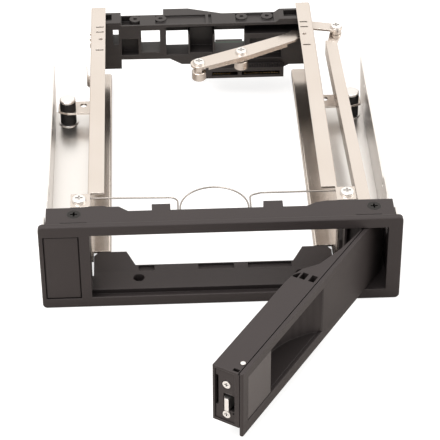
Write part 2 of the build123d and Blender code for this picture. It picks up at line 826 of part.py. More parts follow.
socket_x = (board_mid_x - 8.0, board_mid_x + 9.0)
socket_w = 13.0
socket_h = 7.0
socket_depth = 6.0
with BuildPart() as rear_sockets:
    with BuildSketch(Plane.XZ.offset(-board_front - board_t)):
        with Locations(*((x, board_mid_z) for x in socket_x)):
            Rectangle(socket_w, socket_h)
    extrude(amount=-socket_depth)
    with BuildSketch(Plane.XZ.offset(-board_front - board_t - socket_depth)):
        with Locations(*((x, board_mid_z) for x in socket_x)):
            Rectangle(socket_w - 2.0, socket_h - 2.0)
            Rectangle(socket_w - 4.6, 1.2, mode=Mode.SUBTRACT)
    extrude(amount=socket_depth - 1.4, mode=Mode.SUBTRACT)
rear_sockets.part.label = "rear_sockets"
export_step(rear_sockets.part, "parts/rear_sockets.step")

# Retention wire: one bent length from rail to rail, hooked twice into the bezel
wire_left = (rail_x[-1] - 0.5, wire_y[-1], wire_z)
wire_right = (rail_x[1] + 0.5, wire_y[1], wire_z)
hook_half = 0.45
hook_y = 10.4
loop_y = 14.1
loop_top = 28.2
with BuildPart() as retention_wire:
    with BuildLine():
        left_leg = FilletPolyline(
            wire_left,
            (wire_hooks[0] - hook_half, wire_y[-1] - 1.2, wire_z),
            (wire_hooks[0] - hook_half, hook_y, wire_z),
            (wire_hooks[0] + hook_half, hook_y, wire_z),
            (wire_hooks[0] + hook_half, loop_y, wire_z),
            radius=[3.4, hook_half - 0.02, hook_half - 0.02],
        )
        loop = ThreePointArc(
            left_leg @ 1,
            (sum(wire_hooks) / 2, loop_top, wire_z),
            (wire_hooks[1] - hook_half, loop_y, wire_z),
        )
        FilletPolyline(
            loop @ 1,
            (wire_hooks[1] - hook_half, hook_y, wire_z),
            (wire_hooks[1] + hook_half, hook_y, wire_z),
            (wire_hooks[1] + hook_half, wire_y[1] - 1.6, wire_z),
            (wire_hooks[1] + 5.0, wire_y[1], wire_z),
            wire_right,
            radius=[hook_half - 0.02, hook_half - 0.02, 2.6, 3.0],
        )
    with BuildSketch(Plane(origin=wire_left, z_dir=(1, 0, 0))):
        Circle(wire_r)
    sweep()
retention_wire.part.label = "retention_wire"
export_step(retention_wire.part, "parts/retention_wire.step")

# Hinge pin of the door, held in the bezel
with BuildPart() as hinge_pin:
    with BuildSketch(Plane.XY.offset(3.2)):
        with Locations((hinge_x, hinge_y)):
            Circle(hinge_pin_r)
    extrude(amount=36.6)
hinge_pin.part.label = "hinge_pin"
export_step(hinge_pin.part, "parts/hinge_pin.step")

# Door shell
door_profile = [
    (tip_u, plate_back),
    (tip_u, box_back),
    (-53.3, box_back),
    (-46.8, box_back - 0.4),
    (-41.4, 2.4),
    (-34.9, -2.1),
    (-21.5, -5.0),
    (-11.0, skin_back),
    (skin_end, skin_back),
    (skin_end, plate_back),
]
cavity_v = 3.0
vent_depth = 3.8
cap_t_door = 1.5
with BuildPart() as door_shell:
    with BuildSketch(door_plane(box_bottom)):
        Polygon(*door_profile, align=None)
    extrude(amount=door_top - 0.3 - box_bottom)
    with BuildSketch(door_plane(knuckle_bottom)):
        Circle(knuckle_r)
        with Locations((0, skin_back / 2)):
            Rectangle(2 * knuckle_r, -skin_back)
    extrude(amount=knuckle_top - knuckle_bottom)
    with BuildSketch(door_plane(arm_bottom)):
        channel_path([(0, 0, knuckle_r), (crank_u, crank_v, 2.4)])
    extrude(amount=arm_top - arm_bottom)
    # finger recess: flat at the button, curving out through the plate's window to the hinge side
    with BuildSketch(door_plane(window_bottom)):
        with Locations((window_right - 4.0, (plate_front + plate_back) / 2)):
            Rectangle(8.0, plate_back - plate_front)
    extrude(amount=window_top - window_bottom)
    with BuildSketch(door_plane(window_bottom)):
        with BuildLine():
            grip_floor = Line((button_right + grip_depth, cavity_v), (-66.0, cavity_v))
            grip_rise = ThreePointArc(grip_floor @ 1, (-53.5, -0.9), (window_right, plate_front + 0.1))
            Polyline(
                grip_rise @ 1,
                (window_right, plate_front - 1.0),
                (button_right + grip_depth, plate_front - 1.0),
                grip_floor @ 0,
            )
        make_face()
    extrude(amount=window_top - window_bottom, mode=Mode.SUBTRACT)
    # room behind the button, and for its free edge to swing in
    with BuildSketch(door_plane(window_bottom)):
        with Locations(((tip_u + cap_t_door + button_right + 1.0) / 2, (plate_back + cavity_v) / 2)):
            Rectangle(button_right + 1.0 - tip_u - cap_t_door, cavity_v - plate_back)
        with Locations(((button_right + 1.7), plate_back + 1.5)):
            Rectangle(2.6, 3.4)
    extrude(amount=window_top - window_bottom, mode=Mode.SUBTRACT)
    # open end for the cap
    with BuildSketch(door_end(-tip_u)):
        with Locations((0.8, (box_bottom + door_top) / 2 - 0.2)):
            Rectangle(8.6, door_top - box_bottom - 2.6)
    extrude(amount=-cap_t_door - 1.2, mode=Mode.SUBTRACT)
    # parting groove along the plate, vents, pin hole and small slot of the top face
    with BuildSketch(door_plane(door_top)):
        with Locations(((tip_u + skin_end) / 2, plate_back + 0.25)):
            Rectangle(skin_end - tip_u, 0.5)
    extrude(amount=-1.1, mode=Mode.SUBTRACT)
    with BuildSketch(door_plane(door_top)):
        with Locations((-44.8, -4.3), (-45.0, -0.3)):
            Rectangle(4.2, 2.5)
        with BuildLine():
            Polyline((-47.4, 1.6), (-43.4, 1.6), (-44.6, 2.7), (-46.4, 3.8), (-47.4, 3.8), close=True)
        make_face()
    extrude(amount=-vent_depth, mode=Mode.SUBTRACT)
    with BuildSketch(door_plane(door_top)):
        with Locations((button_pin_u - 4.4, button_pin_v + 0.4)):
            Rectangle(1.6, 2.6)
    extrude(amount=-1.9, mode=Mode.SUBTRACT)
    with BuildSketch(door_plane(box_bottom)):
        with Locations((button_pin_u, button_pin_v)):
            Circle(button_pin_r)
    extrude(amount=door_top - box_bottom, mode=Mode.SUBTRACT)
    with BuildSketch(door_plane(0)):
        Circle(hinge_pin_r + run)
    extrude(amount=face_h, mode=Mode.SUBTRACT)
    with BuildSketch(door_plane(arm_bottom)):
        with Locations((crank_u, crank_v)):
            Circle(crank_pin_r)
    extrude(amount=arm_top - arm_bottom, mode=Mode.SUBTRACT)
    # shallow seats of the drive pads on the back
    with BuildSketch(door_face(box_back)):
        with Locations((-96.0, 23.0), (-66.0, 23.0)):
            RectangleRounded(12.0, 16.0, 1.5)
    extrude(amount=0.8, mode=Mode.SUBTRACT)
door_shell.part.label = "door_shell"
export_step(door_shell.part, "parts/door_shell.step")

with BuildPart() as door_plate:
    with BuildSketch(door_plane(plate_bottom)):
        with BuildLine():
            end_front = (plate_end_r**2 - plate_front**2) ** 0.5
            end_back = (plate_end_r**2 - plate_back**2) ** 0.5
            arc = RadiusArc((end_front, plate_front), (end_back, plate_back), -plate_end_r)
            Polyline(arc @ 1, (tip_u, plate_back), (tip_u, plate_front), arc @ 0)
        make_face()
    extrude(amount=door_top - plate_bottom)
    with BuildSketch(door_face(plate_front - 1.0)):
        with Locations(((window_left + window_right) / 2, (window_bottom + window_top) / 2)):
            Rectangle(window_right - window_left, window_top - window_bottom)
    extrude(amount=-5.0, mode=Mode.SUBTRACT)
    chamfer(door_plate.faces().sort_by(Axis.X)[0].edges().filter_by(Axis.Z), 0.4)
    # relief behind the hinge end, where the linkage bar's eye swings past
    with BuildSketch(door_plane(bar_top - sheet - 0.5)):
        with Locations(((skin_end + plate_end_r) / 2, plate_back - plate_relief / 2)):
            Rectangle(plate_end_r - skin_end, plate_relief)
    extrude(amount=2.6, mode=Mode.SUBTRACT)
door_plate.part.label = "door_plate"
export_step(door_plate.part, "parts/door_plate.step")

cap_mid = (box_bottom + door_top) / 2 - 0.2
cap_h = door_top - box_bottom - 2.8
cap_out = -tip_u - 0.4
with BuildPart() as end_cap:
    with BuildSketch(door_end(cap_out)):
        with Locations((0.8, cap_mid)):
            RectangleRounded(8.4, cap_h, 0.4)
        with Locations((-2.7, 24.6)):
            Rectangle(1.3, 14.8, mode=Mode.SUBTRACT)
        with Locations((2.5, 20.0)):
            Rectangle(4.8, 7.8, mode=Mode.SUBTRACT)
        with Locations((1.6, 28.9), (1.6, 13.9)):
            Circle(0.9, mode=Mode.SUBTRACT)
        with Locations((4.4, 15.0)):
            Circle(0.45, mode=Mode.SUBTRACT)
    extrude(amount=-cap_t_door)
end_cap.part.label = "end_cap"
export_step(end_cap.part, "parts/end_cap.step")

with BuildPart() as end_screws:
    with BuildSketch(door_end(cap_out)):
        with Locations((1.6, 28.9), (1.6, 13.9)):
            Circle(1.65)
    extrude(amount=0.5)
    with BuildSketch(door_end(cap_out)):
        with Locations((1.6, 28.9), (1.6, 13.9)):
            Circle(0.9 - touch)
    extrude(amount=-cap_t_door)
    with BuildSketch(door_end(cap_out + 0.5)):
        with Locations((1.6, 28.9), (1.6, 13.9)):
            phillips(2.0)
    extrude(amount=-0.8, mode=Mode.SUBTRACT)
end_screws.part.label = "end_screws"
export_step(end_screws.part, "parts/end_screws.step")

with BuildPart() as button_pin:
    with BuildSketch(door_plane(box_bottom + 0.1)):
        with Locations((button_pin_u, button_pin_v)):
            Circle(button_pin_r)
    extrude(amount=door_top - box_bottom)
button_pin.part.label = "button_pin"
export_step(button_pin.part, "parts/button_pin.step")

with BuildPart() as crank_pin:
    with BuildSketch(door_plane(arm_bottom)):
        with Locations((crank_u, crank_v)):
            Circle(crank_pin_r)
    extrude(amount=bar_top + 0.5 - arm_bottom)
    with BuildSketch(door_plane(bar_top + 0.3)):
        with Locations((crank_u, crank_v)):
            Circle(2.2)
    extrude(amount=0.9)
crank_pin.part.label = "crank_pin"
export_step(crank_pin.part, "parts/crank_pin.step")

with BuildPart() as drive_pads:
    with BuildSketch(door_face(box_back - 0.8)):
        with Locations((-96.0, 23.0), (-66.0, 23.0)):
            RectangleRounded(12.0, 16.0, 1.5)
    extrude(amount=-1.1)
drive_pads.part.label = "drive_pads"
export_step(drive_pads.part, "parts/drive_pads.step")

# Latch button and hook, turning about the button pin
button_gap = 0.4
with BuildPart() as latch_button:
    with BuildSketch(door_plane(window_bottom + button_gap)):
        with Locations(((window_left + button_right) / 2 + button_gap / 2, plate_front + 1.3)):
            Rectangle(button_right - window_left - button_gap, 2.2)
        with Locations((button_pin_u, button_pin_v)):
            Circle(1.7)
        with Locations((button_pin_u, button_pin_v - 0.8)):
            Rectangle(3.4, 1.6)
    extrude(amount=window_top - window_bottom - 2 * button_gap)
    with BuildSketch(door_plane(16.0)):
        Polygon(
            (button_pin_u - 1.6, button_pin_v),
            (button_pin_u + 1.6, button_pin_v),
            (button_pin_u + 1.6, -0.6),
            (button_pin_u - 2.6, -0.6),
            (button_pin_u - 2.6, -3.4),
            align=None,
        )
    extrude(amount=8.0)
    with BuildSketch(door_plane(0)):
        with Locations((button_pin_u, button_pin_v)):
            Circle(button_pin_r + run)
    extrude(amount=face_h, mode=Mode.SUBTRACT)
latch_button.part.label = "latch_button"
export_step(latch_button.part, "parts/latch_button.step")

with BuildPart() as latch_hook:
    with BuildSketch(door_plane(17.0)):
        Polygon(
            (button_pin_u - 2.6, -3.2),
            (button_pin_u - 2.6, -0.7),
            (tip_u - 0.2, -0.7),
            (tip_u - 1.3, -1.5),
            (tip_u - 1.3, -3.2),
            align=None,
        )
    extrude(amount=6.0)
latch_hook.part.label = "latch_hook"
export_step(latch_hook.part, "parts/latch_hook.step")

# Ejector lever with its two pusher posts
lever_points = [
    (post_a_x, post_a_y, 3.9),
    (post_b_x, post_b_y, 4.2),
    (lever_knee_x, lever_knee_y, 3.6),
    (lever_pivot_x - 1.0, lever_pivot_y - 4.2, 3.0),
]
with BuildPart() as lever:
    with BuildSketch(Plane.XY.offset(lever_top - sheet)):
        channel_path(lever_points)
        channel_path(
            [
                (lever_pivot_x - 1.0, lever_pivot_y - 4.2, 3.0),
                (lever_pivot_x, lever_pivot_y, 3.2),
                (link_x, link_y, 2.9),
            ]
        )
    extrude(amount=sheet)
    with BuildSketch(Plane.XY.offset(lever_top - lever_flange)):
        channel_path(lever_points[:3])
        offset(amount=-sheet, mode=Mode.SUBTRACT)
        for x, y in ((post_a_x, post_a_y), (lever_knee_x, lever_knee_y)):
            with Locations((x, y)):
                Circle(5.0, mode=Mode.SUBTRACT)
    extrude(amount=lever_flange - sheet)
    with BuildSketch(Plane.XY.offset(lever_top)):
        with Locations((lever_pivot_x, lever_pivot_y)):
            Circle(1.5 + run)
        with Locations((post_a_x, post_a_y), (post_b_x, post_b_y), (link_x, link_y)):
            Circle(1.1)
    extrude(amount=-sheet, mode=Mode.SUBTRACT)
lever.part.label = "lever"
export_step(lever.part, "parts/lever.step")

with BuildPart() as pusher_posts:
    with BuildSketch(Plane.XY.offset(post_bottom)):
        with Locations((post_a_x, post_a_y), (post_b_x, post_b_y)):
            Circle(post_r)
    extrude(amount=4.2)
    chamfer(pusher_posts.edges().filter_by(GeomType.CIRCLE), 0.3)
    with BuildSketch(Plane.XY.offset(post_bottom + 4.2)):
        with Locations((post_a_x, post_a_y), (post_b_x, post_b_y)):
            RegularPolygon(2.5, 6)
    extrude(amount=lever_top - sheet - post_bottom - 4.2)
    with BuildSketch(Plane.XY.offset(lever_top - sheet)):
        with Locations((post_a_x, post_a_y), (post_b_x, post_b_y)):
            Circle(1.1)
    extrude(amount=-3.0, mode=Mode.SUBTRACT)
pusher_posts.part.label = "pusher_posts"
export_step(pusher_posts.part, "parts/pusher_posts.step")

screw_places = ((post_a_x, post_a_y), (post_b_x, post_b_y), (link_x, link_y))
with BuildPart() as lever_screws:
    with BuildSketch(Plane.XY.offset(lever_top)):
        with Locations(*screw_places):
            Circle(2.6)
    extrude(amount=1.4)
    fillet(lever_screws.faces().filter_by(Plane.XY).sort_by(Axis.Z)[-3:].edges(), 0.8)
    with BuildSketch(Plane.XY.offset(lever_top)):
        with Locations(*screw_places):
            Circle(1.1 - touch)
    extrude(amount=-3.4)
    with BuildSketch(Plane.XY.offset(lever_top + 1.4)):
        with Locations(*screw_places):
            phillips(3.0)
    extrude(amount=-1.0, mode=Mode.SUBTRACT)
lever_screws.part.label = "lever_screws"
export_step(lever_screws.part, "parts/lever_screws.step")

with BuildPart() as link_pin:
    with BuildSketch(Plane.XY.offset(bar_top + 0.1)):
        with Locations((link_x, link_y)):
            Circle(2.6)
    extrude(amount=lever_top - sheet - bar_top - 0.1)
    with BuildSketch(Plane.XY.offset(bar_top - sheet - 0.7)):
        with Locations((link_x, link_y)):
            Circle(link_pin_r)
    extrude(amount=sheet + 0.9)
    with BuildSketch(Plane.XY.offset(bar_top - sheet - 0.9)):
        with Locations((link_x, link_y)):
            Circle(2.4)
    extrude(amount=0.7)
    with BuildSketch(Plane.XY.offset(lever_top - sheet)):
        with Locations((link_x, link_y)):
            Circle(1.1)
    extrude(amount=-2.6, mode=Mode.SUBTRACT)
link_pin.part.label = "link_pin"
export_step(link_pin.part, "parts/link_pin.step")

with BuildPart() as lever_pivot:
    with BuildSketch(Plane.XY.offset(lever_top - sheet - 0.8)):
        with Locations((lever_pivot_x, lever_pivot_y)):
            Circle(2.0)
    extrude(amount=0.7)
    with BuildSketch(Plane.XY.offset(lever_top - sheet - 0.5)):
        with Locations((lever_pivot_x, lever_pivot_y)):
            Circle(1.5)
    extrude(amount=rail_top - sheet - lever_top + sheet + 0.5)
lever_pivot.part.label = "lever_pivot"
export_step(lever_pivot.part, "parts/lever_pivot.step")

# Linkage bar: inverted channel from the crank pin to the lever's outer end
bar_front_y = 27.0
bar_back_y = 153.7
bar_front_x = 61.3
bar_back_x = 58.4
bar_half = 2.65
eye_x = crank_x + crank_slot_dx
eye_y = crank_y + crank_slot_dy
eye_r = crank_slot_wide / 2 + eye_wall
eye_run = (crank_slot_long - crank_slot_wide) / 2
with BuildPart() as link_bar:
    with BuildSketch(Plane.XY.offset(bar_top - sheet)):
        with BuildLine():
            Polyline(
                (bar_front_x - bar_half, bar_front_y),
                (bar_front_x + bar_half, bar_front_y),
                (bar_back_x + bar_half, bar_back_y),
                (bar_back_x - bar_half, bar_back_y),
                close=True,
            )
        make_face()
        channel_path(
            [
                (eye_x, eye_y - eye_run, eye_r),
                (eye_x, eye_y + eye_run, eye_r),
                (bar_front_x, bar_front_y + 2.0, 2.4),
            ]
        )
        channel_path([(link_x, link_y, 2.8), (bar_back_x + 0.4, bar_back_y - 2.0, 2.2)])
    extrude(amount=sheet)
    for edge in (-1, 1):
        with BuildSketch(Plane.XY.offset(bar_bottom)):
            with BuildLine():
                Polyline(
                    (bar_front_x + edge * bar_half, bar_front_y + 3.0),
                    (bar_front_x + edge * (bar_half - sheet), bar_front_y + 3.0),
                    (bar_back_x + edge * (bar_half - sheet), bar_back_y),
                    (bar_back_x + edge * bar_half, bar_back_y),
                    close=True,
                )
            make_face()
        extrude(amount=bar_top - sheet - bar_bottom)
    # short slot for the crank pin: it takes up the pin's arc as the door turns
    with BuildSketch(Plane.XY.offset(bar_top)):
        with Locations((eye_x, eye_y)):
            SlotOverall(crank_slot_long, crank_slot_wide, rotation=90)
        with Locations((link_x, link_y)):
            Circle(link_pin_r + run)
    extrude(amount=-sheet, mode=Mode.SUBTRACT)
link_bar.part.label = "link_bar"
export_step(link_bar.part, "parts/link_bar.step")
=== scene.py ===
"""Trayless drive rack with its door open, photographed on white from the front and above."""
import math

import bmesh
import bpy
from mathutils import Matrix, Vector


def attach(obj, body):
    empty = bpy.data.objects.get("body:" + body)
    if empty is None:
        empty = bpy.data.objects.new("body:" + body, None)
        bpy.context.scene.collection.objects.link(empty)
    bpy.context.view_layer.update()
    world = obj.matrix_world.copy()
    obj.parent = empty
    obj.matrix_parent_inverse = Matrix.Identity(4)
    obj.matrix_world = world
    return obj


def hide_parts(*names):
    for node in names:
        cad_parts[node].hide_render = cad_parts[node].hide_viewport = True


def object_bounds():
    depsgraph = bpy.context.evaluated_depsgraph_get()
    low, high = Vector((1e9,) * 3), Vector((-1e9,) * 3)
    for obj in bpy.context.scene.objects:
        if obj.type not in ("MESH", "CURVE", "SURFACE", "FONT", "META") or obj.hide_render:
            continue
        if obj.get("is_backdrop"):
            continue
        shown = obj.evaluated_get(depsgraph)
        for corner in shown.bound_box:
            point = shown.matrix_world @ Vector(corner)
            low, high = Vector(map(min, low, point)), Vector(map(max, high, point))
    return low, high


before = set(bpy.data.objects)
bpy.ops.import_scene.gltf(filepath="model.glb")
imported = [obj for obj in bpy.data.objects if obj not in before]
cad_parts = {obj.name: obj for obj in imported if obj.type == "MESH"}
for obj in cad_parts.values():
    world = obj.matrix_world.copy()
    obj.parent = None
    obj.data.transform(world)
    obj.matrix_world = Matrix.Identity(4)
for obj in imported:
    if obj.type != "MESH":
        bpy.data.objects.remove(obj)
cad_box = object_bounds()
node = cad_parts

# Camera: in front of the bezel and well above it, with a long lens.
frame_px = 440.0
focal_px = 1970.5
sensor_mm = 36.0
stand = (-0.0247, -0.6375, 0.5234)
pitch, yaw, roll = math.radians(36.95), math.radians(2.18), math.radians(0.37)
forward = Vector((math.sin(yaw) * math.cos(pitch), math.cos(yaw) * math.cos(pitch), -math.sin(pitch)))
level = Vector((math.cos(yaw), -math.sin(yaw), 0.0))
down = forward.cross(level)
right = level * math.cos(roll) + down * math.sin(roll)
down = down * math.cos(roll) - level * math.sin(roll)
eye = bpy.data.cameras.new("front_camera")
eye.lens = sensor_mm * focal_px / frame_px
eye.sensor_width = sensor_mm
eye.clip_start = 0.05
camera = bpy.data.objects.new("front_camera", eye)
bpy.context.scene.collection.objects.link(camera)
camera.matrix_world = Matrix.Translation(stand) @ Matrix(
    [[right[i], -down[i], -forward[i]] for i in range(3)]
).to_4x4()
bpy.context.scene.camera = camera
bpy.context.scene.view_settings.view_transform = "Standard"

# Studio: white surroundings that light the part from above and less from low down. The
# plating mirrors a ramp from brown to white. The table is white paper and keeps the shadow.
world = bpy.data.worlds.new("white_studio")
bpy.context.scene.world = world
world.use_nodes = True
air = world.node_tree
air.nodes.clear()
air_out = air.nodes.new("ShaderNodeOutputWorld")
soft = air.nodes.new("ShaderNodeBackground")
soft.inputs["Strength"].default_value = 1.0
paper = air.nodes.new("ShaderNodeBackground")
paper.inputs["Color"].default_value = (1, 1, 1, 1)
mirror = air.nodes.new("ShaderNodeBackground")
mirror.inputs["Strength"].default_value = 1.0
where = air.nodes.new("ShaderNodeTexCoord")
split = air.nodes.new("ShaderNodeSeparateXYZ")
air.links.new(where.outputs["Generated"], split.inputs[0])
height = air.nodes.new("ShaderNodeValToRGB")
height.color_ramp.elements[0].position = 0.42
height.color_ramp.elements[0].color = (0.42, 0.33, 0.27, 1)
height.color_ramp.elements[1].position = 0.62
height.color_ramp.elements[1].color = (1.25, 1.2, 1.14, 1)
lift = air.nodes.new("ShaderNodeMath")
lift.operation = "MULTIPLY_ADD"
lift.inputs[1].default_value = 0.5
lift.inputs[2].default_value = 0.5
air.links.new(split.outputs["Z"], lift.inputs[0])
air.links.new(lift.outputs[0], height.inputs[0])
air.links.new(height.outputs[0], mirror.inputs["Color"])
fill = air.nodes.new("ShaderNodeValToRGB")
fill.color_ramp.elements[0].position = 0.40
fill.color_ramp.elements[0].color = (0.26, 0.25, 0.245, 1)
fill.color_ramp.elements[1].position = 0.85
fill.color_ramp.elements[1].color = (0.98, 0.965, 0.95, 1)
air.links.new(lift.outputs[0], fill.inputs[0])
air.links.new(fill.outputs[0], soft.inputs["Color"])
rays = air.nodes.new("ShaderNodeLightPath")
seen = air.nodes.new("ShaderNodeMixShader")
gloss = air.nodes.new("ShaderNodeMixShader")
air.links.new(rays.outputs["Is Glossy Ray"], gloss.inputs[0])
air.links.new(soft.outputs[0], gloss.inputs[1])
air.links.new(mirror.outputs[0], gloss.inputs[2])
air.links.new(rays.outputs["Is Camera Ray"], seen.inputs[0])
air.links.new(gloss.outputs[0], seen.inputs[1])
air.links.new(paper.outputs[0], seen.inputs[2])
air.links.new(seen.outputs[0], air_out.inputs[0])

for label, place, aim, size, power, warmth in (
    ("overhead_box", (-0.35, -0.25, 0.95), (0.0, 0.05, 0.0), 0.7, 6.8, (1.0, 0.975, 0.96)),
    ("right_box", (0.75, 0.15, 0.55), (0.0, 0.05, 0.02), 0.5, 1.8, (1.0, 0.97, 0.93)),
):
    lamp = bpy.data.lights.new(label, "AREA")
    lamp.size = size
    lamp.energy = power
    lamp.color = warmth
    box_light = bpy.data.objects.new(label, lamp)
    bpy.context.scene.collection.objects.link(box_light)
    box_light.location = place
    box_light.rotation_euler = (Vector(aim) - Vector(place)).to_track_quat("-Z", "Y").to_euler()

table_half = 1.5
table_top = bmesh.new()
bmesh.ops.create_grid(table_top, x_segments=1, y_segments=1, size=table_half)
table_mesh = bpy.data.meshes.new("table")
table_top.to_mesh(table_mesh)
table_top.free()
table = bpy.data.objects.new("table", table_mesh)
bpy.context.scene.collection.objects.link(table)
table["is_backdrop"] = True
table_paper = bpy.data.materials.new("table_paper")
table_paper.use_nodes = True
tree = table_paper.node_tree
tree.nodes.clear()
table_out = tree.nodes.new("ShaderNodeOutputMaterial")
matt = tree.nodes.new("ShaderNodeBsdfDiffuse")
matt.inputs["Color"].default_value = (0.44, 0.435, 0.43, 1)
glow = tree.nodes.new("ShaderNodeEmission")
glow.inputs["Strength"].default_value = 0.76
both = tree.nodes.new("ShaderNodeAddShader")
dull = tree.nodes.new("ShaderNodeBsdfDiffuse")
dull.inputs["Color"].default_value = (0.72, 0.68, 0.64, 1)
pick = tree.nodes.new("ShaderNodeMixShader")
path = tree.nodes.new("ShaderNodeLightPath")
tree.links.new(matt.outputs[0], both.inputs[0])
tree.links.new(glow.outputs[0], both.inputs[1])
tree.links.new(path.outputs["Is Camera Ray"], pick.inputs[0])
tree.links.new(dull.outputs[0], pick.inputs[1])
tree.links.new(both.outputs[0], pick.inputs[2])
tree.links.new(pick.outputs[0], table_out.inputs[0])
table_mesh.materials.append(table_paper)

# Side rails: two bent channels of 1 mm steel, bright nickel plated, punched and folded.
# The plating shows fine rolling grain along the rail, and its edges carry a painted highlight.


def surface_group():
    """Grain, cloud, edge and open-air masks that the metals and the plastics share; the edge mask
    places painted highlights on edges and the open-air mask places painted shade in corners and
    recesses.
    """
    cloud_scale = 38.0
    corner_reach = 0.014
    edge_samples = 6
    corner_samples = 8
    group = bpy.data.node_groups.new("surface_grain_and_painted_light", "ShaderNodeTree")
    face = group.interface
    for name, kind, start in (
        ("Grain Scale", "NodeSocketFloat", 900.0),
        ("Stretch", "NodeSocketFloat", 1.0),
        ("Edge Radius", "NodeSocketFloat", 0.0004),
    ):
        socket = face.new_socket(name=name, in_out="INPUT", socket_type=kind)
        socket.default_value = start
    face.new_socket(name="Grain", in_out="OUTPUT", socket_type="NodeSocketFloat")
    face.new_socket(name="Cloud", in_out="OUTPUT", socket_type="NodeSocketFloat")
    face.new_socket(name="Edge", in_out="OUTPUT", socket_type="NodeSocketFloat")
    face.new_socket(name="Open", in_out="OUTPUT", socket_type="NodeSocketFloat")
    face.new_socket(name="Normal", in_out="OUTPUT", socket_type="NodeSocketVector")
    start = group.nodes.new("NodeGroupInput")
    end = group.nodes.new("NodeGroupOutput")
    place = group.nodes.new("ShaderNodeTexCoord")
    squeeze = group.nodes.new("ShaderNodeCombineXYZ")
    squeeze.inputs["X"].default_value = 1.0
    squeeze.inputs["Z"].default_value = 1.0
    group.links.new(start.outputs["Stretch"], squeeze.inputs["Y"])
    stretched = group.nodes.new("ShaderNodeVectorMath")
    stretched.operation = "MULTIPLY"
    group.links.new(place.outputs["Object"], stretched.inputs[0])
    group.links.new(squeeze.outputs[0], stretched.inputs[1])
    fine = group.nodes.new("ShaderNodeTexNoise")
    fine.inputs["Detail"].default_value = 3.0
    group.links.new(stretched.outputs[0], fine.inputs["Vector"])
    group.links.new(start.outputs["Grain Scale"], fine.inputs["Scale"])
    cloud = group.nodes.new("ShaderNodeTexNoise")
    cloud.inputs["Scale"].default_value = cloud_scale
    cloud.inputs["Detail"].default_value = 5.0
    group.links.new(place.outputs["Object"], cloud.inputs["Vector"])
    # Edge mask from the bevel normal: high on rounded edges, where the finishes paint a highlight
    # colour.
    rounded = group.nodes.new("ShaderNodeBevel")
    rounded.samples = edge_samples
    group.links.new(start.outputs["Edge Radius"], rounded.inputs["Radius"])
    true_side = group.nodes.new("ShaderNodeNewGeometry")
    turn = group.nodes.new("ShaderNodeVectorMath")
    turn.operation = "DOT_PRODUCT"
    group.links.new(rounded.outputs[0], turn.inputs[0])
    group.links.new(true_side.outputs["Normal"], turn.inputs[1])
    bend = group.nodes.new("ShaderNodeMapRange")
    bend.inputs["From Min"].default_value = 0.995
    bend.inputs["From Max"].default_value = 0.85
    group.links.new(turn.outputs["Value"], bend.inputs["Value"])
    group.links.new(fine.outputs["Fac"], end.inputs["Grain"])
    group.links.new(cloud.outputs["Fac"], end.inputs["Cloud"])
    group.links.new(bend.outputs[0], end.inputs["Edge"])
    # Occlusion mask: low in corners, creases and recesses, where the finishes paint shade into the
    # colour.
    corner = group.nodes.new("ShaderNodeAmbientOcclusion")
    corner.samples = corner_samples
    corner.inputs["Distance"].default_value = corner_reach
    group.links.new(corner.outputs["AO"], end.inputs["Open"])
    group.links.new(rounded.outputs[0], end.inputs["Normal"])
    return group


grain_and_painted_light = surface_group()


